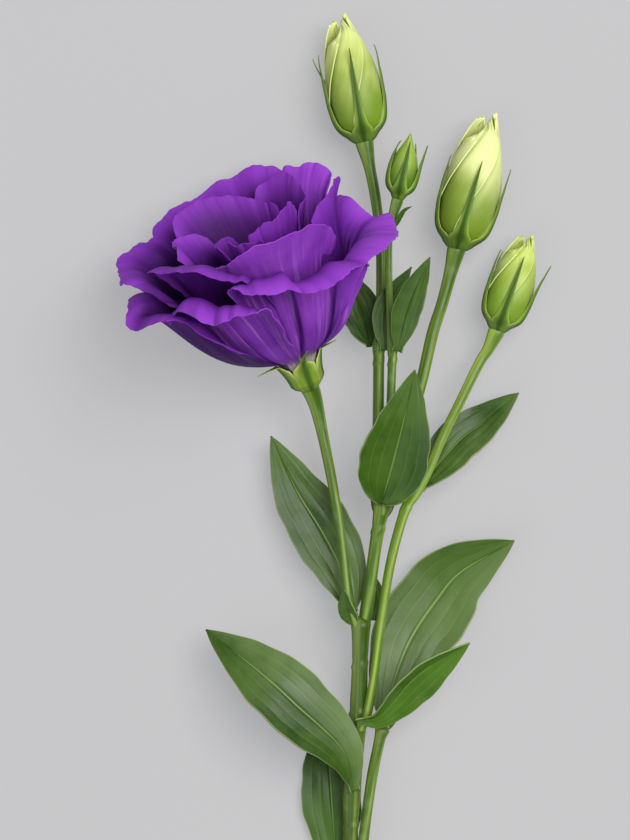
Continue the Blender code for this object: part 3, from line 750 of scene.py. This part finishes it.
CREASES = {
    # petal: sharp folds up it, as how far across from -1 to 1, width and depth inwards
    "front_right_petal": ((-0.01, 0.09, 3), (0.285, 0.08, 0.8), (-0.23, 0.08, 1)),
    "front_left_petal": ((0.3, 0.06, 0.5), (-0.35, 0.05, 0.5)),
    "right_flared_petal": ((-0.25, 0.05, 0.6), (0.35, 0.05, 0.6)),
    "front_middle_petal": ((0.12, 0.05, 0.3), (-0.42, 0.05, 0.4)),
    "back_right_petal": ((0.1, 0.06, 0.6),),
}

PETALS = {
    # name: CAD node, layer, finish (lit, shaded and bright are copies of the violet with light and
    # shade painted in), ruffle (waves, depth), and the rim from left to right: angle round the
    # flower, radius, height, the angle from the axis at the rim, and how far back that reaches
    "front_right_petal": ("petal_outer_1", "outer", "lit", (4, 0.7), [
        (-28, 18, 30, 40), (-27, 22.5, 39, 48), (-24, 24.9, 43.4, 60), (-19, 26.3, 44.8, 85),
        (-12, 27.5, 43.5, 115, 0.36), (-2, 28.2, 41, 135, 0.4), (11, 26.5, 38.9, 135, 0.4),
        (17, 29, 37.4, 128, 0.4), (30, 33, 37.2, 125, 0.45), (40, 34.3, 38.2, 115, 0.5),
        (50, 34, 36.6, 100, 0.5), (58, 30, 31.5, 75, 0.4), (62, 24, 24, 45)]),
    "right_flared_petal": ("petal_outer_2", "outer", "bright", (3, 0.7), [
        (40, 24, 25, 40), (46, 35, 37, 100, 0.4), (52, 39, 38.6, 108, 0.5),
        (62, 40, 38.5, 108, 0.55), (70, 39, 37.5, 110, 0.55), (77, 37.5, 35, 112, 0.55),
        (86, 37, 34.5, 108, 0.5), (95, 37, 36, 100, 0.45), (101, 34, 34.5, 95, 0.4),
        (107, 32.5, 36.5, 85, 0.35), (115, 31.5, 39.3, 75), (124, 30, 39, 60), (130, 23, 28, 45)]),
    "back_petal": ("petal_outer_3", "outer", "lit", (2.6, 0.7), [
        (138, 23, 28, 40), (148, 31, 43, 55), (154, 34, 46.9, 65), (161, 35, 48.2, 70),
        (168, 35, 49.1, 75), (177, 34, 49.2, 72), (185, 33, 49.7, 70), (199, 33, 47.5, 70),
        (211, 35, 47.7, 75), (222, 36, 45, 75), (230, 28, 34, 50)]),
    "upper_left_petal": ("petal_outer_4", "outer", "lit", (2.8, 0.7), [
        (210, 22, 28, 50), (220, 33, 42, 70), (226, 37, 45, 85), (233, 39, 44.2, 95),
        (240, 41, 43.8, 100), (252, 38, 44.2, 105, 0.35), (262, 36.5, 44, 110, 0.35),
        (268, 33, 44, 100), (273, 26, 36, 60)]),
    "left_drooping_petal": ("petal_outer_5", "outer", "shaded", (2.6, 0.8), [
        (-112, 22, 26, 60), (-100, 33, 40, 90), (-90, 35, 42, 110), (-80, 37, 42, 120, 0.35),
        (-75, 39.5, 39, 135, 0.35), (-66, 38.6, 40.3, 125, 0.35), (-58, 36, 41.6, 105),
        (-50, 31, 38, 70), (-42, 28, 32, 50), (-36, 22, 24, 50)]),
    "front_left_petal": ("petal_outer_6", "outer", "lit", (4, 0.7), [
        (-76, 23, 23, 60), (-68, 30, 36, 90), (-56, 32, 42, 110, 0.35), (-44, 32.5, 43, 125, 0.35),
        (-33, 34.3, 40.7, 130, 0.38), (-25, 34.4, 40.3, 128, 0.36), (-18.5, 33, 40.2, 115),
        (-12, 31.3, 39.8, 90, 0.27), (-7, 29.3, 37.8, 68, 0.25), (-2, 25.8, 31, 55, 0.25),
        (0, 19.5, 21, 50, 0.25)]),
    "front_middle_petal": ("petal_middle_1", "third", "lit", (3, 0.5), [
        (-54, 12, 32, 20), (-43, 17, 46.2, 30), (-27, 18.2, 47.9, 30), (-7, 19.3, 50.6, 30),
        (8, 19.3, 51.2, 30), (24, 19.3, 50.3, 30), (42, 19.6, 48.6, 32), (58, 20, 46.6, 35),
        (70, 20.7, 44.4, 38), (77, 21.4, 40.8, 38), (84, 20.6, 34, 38), (88, 16, 25, 40)]),
    "right_twisted_petal": ("petal_middle_2", "second", "shaded", (3, 0.4), [
        (66, 12, 28, 30), (70, 15.5, 39, 10), (75, 16.8, 44, -5), (80, 18, 45.8, -8),
        (85, 20.8, 48.2, 0), (92, 24.3, 49.3, 15), (97, 26.8, 50.1, 30), (101, 28.5, 49, 40),
        (104, 24, 43, 40), (106, 16, 32, 40)]),
    "back_right_petal": ("petal_middle_3", "second", "bright", (2.2, 0.5), [
        (98, 13, 33, 30), (106, 18, 40.5, 35), (112, 22, 41, 40), (118, 26, 42, 45),
        (122, 31, 44.8, 55), (126, 33, 46.5, 60), (131, 33.5, 47.7, 60), (136, 33, 48.5, 60),
        (142, 31.5, 48, 55), (150, 30, 48.9, 50), (157, 24, 38, 40)]),
    "left_bowl_petal": ("petal_middle_4", "third", "lit", (2.4, 0.6), [
        (-150, 12, 32, 20), (-141, 16.5, 43.5, 22), (-128, 19, 47.8, 28), (-112, 20.2, 49.5, 32),
        (-95, 19.8, 50.6, 32), (-85, 19.3, 51.4, 30), (-74, 19.8, 51.1, 35), (-63, 20.5, 50, 40),
        (-55, 20, 48.6, 45), (-50, 16.5, 45.6, 35), (-46, 11, 33, 20)]),
    "left_turned_petal": ("petal_middle_5", "second", "shaded", (2.6, 0.5), [
        (-100, 16, 26, 40), (-90, 26, 45, 70), (-80, 28.5, 48.7, 90), (-70, 29, 51, 100),
        (-60, 27.5, 51.8, 100), (-50, 26.5, 51.6, 100), (-42, 25.8, 51, 100), (-32, 25, 49, 105),
        (-20, 24.2, 46.2, 105), (-12, 23.5, 44.5, 100), (-4, 17, 32, 50)]),
    "folded_heart_petal": ("petal_inner_1", "heart", "shaded", (2, 0.3), [
        (-14, 4.5, 33, 5), (-5, 7.2, 48, 8), (15, 7.6, 49.6, 8), (35, 8.2, 50.9, 8),
        (60, 9.3, 50, 10), (85, 11.5, 50.2, 15), (98, 14, 49.4, 20), (106, 14, 45, 20),
        (110, 9, 34, 15)]),
    "curled_heart_petal": ("petal_inner_2", "third", "shaded", (2.2, 0.5), [
        (104, 12, 35, 20), (112, 16, 44, 30), (120, 19.8, 46, 35), (128, 22.8, 45.8, 40),
        (133, 24.7, 46.9, 45), (141, 26.5, 48.8, 48), (147, 26.5, 50, 48), (157, 25.5, 48.5, 45),
        (164.6, 23.5, 46.8, 40), (172, 16, 35, 30)]),
    "bowl_back_petal": ("petal_inner_3", "third", "shaded", (1.8, 0.35), [
        (138, 14, 30, 15), (147, 18, 43.6, 20), (157, 20, 44.9, 25), (167, 21, 46.5, 28),
        (179, 22, 48.7, 30), (197, 22, 51.5, 30), (214, 23.2, 52, 35), (229, 23.6, 50, 40),
        (240, 20, 38, 35)]),
    "left_heart_petal": ("petal_inner_4", "heart", "shaded", (2, 0.3), [
        (196, 5, 32, 8), (212, 7.5, 43.5, 12), (228, 9, 45.4, 15), (250, 9.8, 45.6, 18),
        (270, 9.7, 45.9, 18), (290, 8.5, 46.5, 12), (304, 5.5, 35, 5)]),
    "front_heart_petal": ("petal_inner_5", "heart", "shaded", (2, 0.3), [
        (-74, 4.5, 33, 5), (-60, 7.3, 47.4, 10), (-36, 6.8, 47.3, 8), (-12, 7, 47.7, 8),
        (8, 8.2, 47.2, 12), (20, 9.2, 46.6, 15), (32, 6.5, 36, 8)]),
}


def petal_finish(name, deep, middle, bright, rim, streaks, foot, dark_to):
    """Violet with veins fanning out from a pale yellow-green foot. It is darker low down, partly
    the petal's own deeper throat and partly painted shade in the cup. It is lighter towards the rim,
    partly its own paler rim and partly painted light on the rims, with pale streaks up the lower
    half."""
    f = Finish(name, 0.6, Specular_IOR_Level=0.1)
    wander = f.noise(f.spot, 45, 2)
    fan = f.across + (wander - 0.5) * 0.06
    veins = f.noise(f.joined(fan * 24, f.along * 1.4), 1, 4, 0.6)
    fine = f.noise(f.joined(fan * 110, f.along * 5), 1, 2, 0.6)
    cloud = f.noise(f.spot, 70, 3)
    colour = f.mix(f.between(veins * 0.25 + cloud * 0.75, 0.34, 0.66), middle, bright)
    streak = f.between(veins, 0.5, 0.7) * f.between(f.along, 0.95, 0.35, 0, streaks)
    colour = f.mix(streak, colour, PETAL_STREAK)
    # painted shade, with the petal's own deeper throat: darker low down, up to dark_to
    colour = f.mix(f.between(f.along, dark_to, dark_to - 0.5, 0, 0.92), colour, deep)
    colour = f.mix(f.between(fine, 0.5, 0.8, 0, 0.12), colour, rim)
    # painted light, with the rim's own paler colour: lighter over the top quarter
    colour = f.mix(f.between(f.along, 0.75, 1, 0, 0.6), colour, rim)
    pale = f.between(f.along + (veins - 0.5) * 0.16, 0.04, 0.17, foot, 0)
    colour = f.mix(pale, colour, PETAL_FOOT)
    return f.done(colour, f.between(cloud, 0.3, 0.7, 0.5, 0.65), veins + fine * 0.3, PETAL_BUMP)


PETAL_FINISHES = {
    # the outside, and the inside. The three are copies of one violet with light and shade painted
    # in: lit for most petals, shaded for those that lie in shadow, bright for those that face the
    # light
    finish: (petal_finish(f"petal_{look}_outside", *outside),
             petal_finish(f"petal_{look}_inside", *inside))
    for finish, look, outside, inside in (
        ("lit", "violet",
         ((0.13, 0.02, 0.29), (0.165, 0.024, 0.35), (0.265, 0.052, 0.49), (0.3, 0.06, 0.55),
          0.65, 1, 0.45),
         ((0.014, 0.001, 0.034), (0.11, 0.013, 0.255), (0.18, 0.027, 0.37), (0.265, 0.048, 0.5),
          0.1, 0.2, 1)),
        # painted shade: the violet darker, for petals that lie in shadow
        ("shaded", "deep",
         ((0.04, 0.004, 0.095), (0.075, 0.008, 0.175), (0.125, 0.016, 0.275),
          (0.25, 0.042, 0.475), 0.15, 0.2, 0.9),
         ((0.014, 0.001, 0.034), (0.08, 0.008, 0.185), (0.13, 0.017, 0.275), (0.23, 0.04, 0.44),
          0.1, 0.2, 1.05)),
        # painted light: the violet lighter inside and less dark low down, for petals that face the
        # light
        ("bright", "bright",
         ((0.11, 0.016, 0.26), (0.15, 0.02, 0.33), (0.235, 0.042, 0.46), (0.29, 0.055, 0.54),
          0.6, 1, 0.6),
         ((0.05, 0.006, 0.12), (0.15, 0.02, 0.33), (0.26, 0.052, 0.49), (0.3, 0.058, 0.55),
          0.6, 0.2, 0.75)),
    )
}


def along_stations(table, u):
    """Every column of the table at u from -1 to 1, on the Catmull-Rom curve through its rows."""
    p = with_ends(table)
    x = (np.clip(u, -1, 1) + 1) / 2 * (len(table) - 1)
    k = np.minimum(x.astype(int), len(table) - 2)
    return catmull_rom(p[k], p[k + 1], p[k + 2], p[k + 3], (x - k)[:, None])


def petal_line(layer, v, angle, radius, height, slope, keep):
    """Radius and height at a share v of the way up each of a row of lines: a narrow foot rises to
    the neck, and from there a cubic Bezier curve goes to the rim, leaving and arriving in the
    directions given. The belly is rounder on the sides than at the front and back."""
    foot, neck, neck_angle, neck_keep = LAYERS[layer]
    foot, neck = np.array([foot, neck])
    top = np.stack([radius, height], -1)
    length = np.linalg.norm(top - neck, axis=-1, keepdims=True)
    facing = np.cos(np.radians(angle)) ** 2
    out = np.radians(neck_angle - FRONT_STEEPER * facing)
    neck_keep = neck_keep - FRONT_SHORTER * facing[:, None]
    near = neck + length * neck_keep * np.stack([np.sin(out), np.cos(out)], -1)
    slope = np.radians(slope)
    far = top - length * keep[:, None] * np.stack([np.sin(slope), np.cos(slope)], -1)
    v = v[:, None, None]
    t = np.clip((v - CLAW) / (1 - CLAW), 0, 1)
    bezier = ((1 - t) ** 3 * neck + 3 * (1 - t) ** 2 * t * near + 3 * (1 - t) * t**2 * far
              + t**3 * top)
    low = np.clip(v / CLAW, 0, 1)
    claw = foot + (neck - foot) * np.concatenate([low**1.7, low], -1)
    return np.where(v < CLAW, claw, bezier)


def rim_waves(kind, mm, slow, phase):
    """The sum of a kind's two sine waves, times how strong they are."""
    *waves, strength, part = RIM_WAVES[kind]
    total = sum(height * np.sin(pace * mm + shift * slow + own * phase)
                for height, pace, shift, own in waves)
    return total * (strength + part * slow)


def petal(name, node, layer, finish, ruffle, rim):
    """Lines up the petal at each angle along its rim, pushed in and out by waves that grow with the
    fourth power of how far up it is, low pleats, creases, and a fine frill and notches at the very
    edge. The lines' points are closer together towards the rim."""
    u = np.linspace(-1, 1, PETAL_COLUMNS)
    rim = [(*row, USUAL_REACH)[:5] for row in rim]
    theta, radius, height, slope, keep = along_stations(rim, u).T
    v = 1 - (1 - np.linspace(0, 1, PETAL_ROWS)) ** 1.25
    profile = petal_line(layer, v, theta, radius, height, slope, keep)
    angle = np.radians(theta)[None, :] + 0 * v[:, None]
    grid = turned(FLOWER_BASE, FLOWER_AXES, profile[..., 0], angle, profile[..., 1])
    across = unit(np.cross(np.gradient(grid, axis=1), np.gradient(grid, axis=0)))
    waves, depth = ruffle
    phase = sum(map(ord, name)) % 7
    uu, vv = np.meshgrid(u, v)
    wave = (depth * np.sin(waves * np.pi * uu + phase)
            + 0.5 * depth * np.sin(2.3 * waves * np.pi * uu + 2 * phase))
    slow = np.sin(5 * uu + phase) * np.sin(3.3 * uu - 2 * phase)
    mm = distances(grid[-1])[None, :]
    pleats, frill, notches = [rim_waves(kind, mm, slow, phase)
                              for kind in ("pleats", "frill", "notches")]
    push = wave * vv**4 + pleats * vv + frill * vv**RIM_POWER
    onward = unit(np.gradient(grid, axis=0))
    grid = grid + onward * (notches * vv**RIM_POWER)[..., None]
    for at, width, inwards in CREASES.get(name, ()):
        push -= (inwards * np.exp(-np.abs(uu - at - 0.04 * np.sin(4 * vv)) / width)
                 * np.sin(np.pi * vv**0.8) ** 0.7)
    grid = grid + across * push[..., None]
    made = piece(name, [grid], PETAL_FINISHES[finish], node, PETAL_THICKNESS)


for name, petal_sizes in PETALS.items():
    petal(name, *petal_sizes)


# Calyx of the open flower: it hugs the foot of the cup of petals, yellow-green, with its tips
# standing away from them.

CUP_FOOT = ((2.2, -2.6), (2.9, -1.9), (3.9, -0.9))  # radius and height, on the stalk
CUP_RIM = (30, 40, 110, 0.35)  # as the petals' rims are given, after the angle
CUP_SHARE = 0.8  # how far up the petals the calyx can follow them
CUP_STEPS = 200
CUP_CLEARANCE = (0.9, 1.1)  # from the petals at the foot, and how much more at the top
FLOWER_LOBES_FROM = 10.5
FLOWER_SEPALS = (21, 17.5, 20, 20, 17.5)
FLOWER_FLARE = (1.4, 0.8, 0.4, 0.4, 3.2)
FLOWER_TURN = math.radians(-30)


def cup_line(angle):
    """The outside of the cup of petals at an angle, from the stalk up, as distances and places of
    radius and height: the line of an outer petal, moved out square to itself to clear the
    petals."""
    line = petal_line("outer", np.linspace(0, CUP_SHARE, CUP_STEPS),
                      *np.array([angle, *CUP_RIM], float)[:, None])[:, 0]
    direction = unit(np.gradient(line, axis=0))
    away = CUP_CLEARANCE[0] + CUP_CLEARANCE[1] * np.linspace(0, 1, CUP_STEPS)[:, None]
    line = line + away * np.stack([direction[:, 1], -direction[:, 0]], -1)
    line = np.vstack([CUP_FOOT, line])
    return distances(line), line


CUP_FRONT, CUP_SIDE = cup_line(0), cup_line(90)


def flower_outline(distance, angle):
    """The radius and height at a distance along the outside of the cup of petals, between the line
    at its front and the line at its side."""
    front, side = [np.stack([np.interp(distance, path, line[:, k]) for k in (0, 1)])
                   for path, line in (CUP_FRONT, CUP_SIDE)]
    return side + (front - side) * np.cos(angle) ** 2


calyx("flower_calyx", FLOWER_BASE, FLOWER_AXES, flower_outline, FLOWER_LOBES_FROM, FLOWER_SEPALS,
      FLOWER_FLARE, FLOWER_TURN, FLOWER_SEPAL_FINISH)


# Room: a plain pale floor that glows a little, so that shadows on it are faint, soft light from the
# right and above, a weaker one from the left, and a camera that looks straight down on the spray.

FLOOR_REACH = 2.5  # metres each way
FLOOR_GLOW = 0.34
FLOOR_DARK, FLOOR_LIGHT = (0.155, 0.155, 0.16), (0.175, 0.175, 0.178)
SKY, SKY_STRENGTH = (0.86, 0.87, 0.9, 1), 0.3
CAMERA_HEIGHT = 866

floor_mesh = bpy.data.meshes.new("floor")
floor_mesh.from_pydata([(x * FLOOR_REACH, y * FLOOR_REACH, 0)
                        for x, y in ((-1, -1), (1, -1), (1, 1), (-1, 1))], [], [(0, 1, 2, 3)])
floor_mesh.uv_layers.new(name="UVMap")
floor = new_object("floor", floor_mesh)
paint = Finish("floor_pale", 0.85, Specular_IOR_Level=0.1, Emission_Strength=FLOOR_GLOW)
paint.shader.inputs["Emission Color"].default_value = (1, 1, 1.02, 1)
floor_mesh.materials.append(
    paint.done(paint.mix(paint.noise(paint.spot, 2, 2), FLOOR_DARK, FLOOR_LIGHT)))


def soft_light(name, place, size, power, colour):
    """A square light that faces the middle of the spray."""
    made = bpy.data.lights.new(name, "AREA")
    made.shape, made.size, made.energy, made.color = "SQUARE", size, power, colour
    obj = new_object(name, made)
    obj.location = place
    obj.rotation_mode = "QUATERNION"
    obj.rotation_quaternion = Vector(place).to_track_quat("Z", "Y")


soft_light("key", (0.6, 0.42, 1.4), 1.2, 33, (1, 0.985, 0.96))
soft_light("fill", (-0.9, -0.7, 1.3), 1.6, 11, (0.95, 0.97, 1))
world = bpy.data.worlds.new("room")
bpy.context.scene.world = world
world.use_nodes = True
world.node_tree.nodes["Background"].inputs["Color"].default_value = SKY
world.node_tree.nodes["Background"].inputs["Strength"].default_value = SKY_STRENGTH

camera = bpy.data.cameras.new("camera")
camera.lens, camera.sensor_width, camera.sensor_fit, camera.clip_end = 135, 36, "AUTO", 10
camera_object = new_object("camera", camera)
camera_object.location = (PLANT + [0, 0, CAMERA_HEIGHT]) * MM
bpy.context.scene.camera = camera_object
bpy.context.scene.view_settings.view_transform = "Standard"
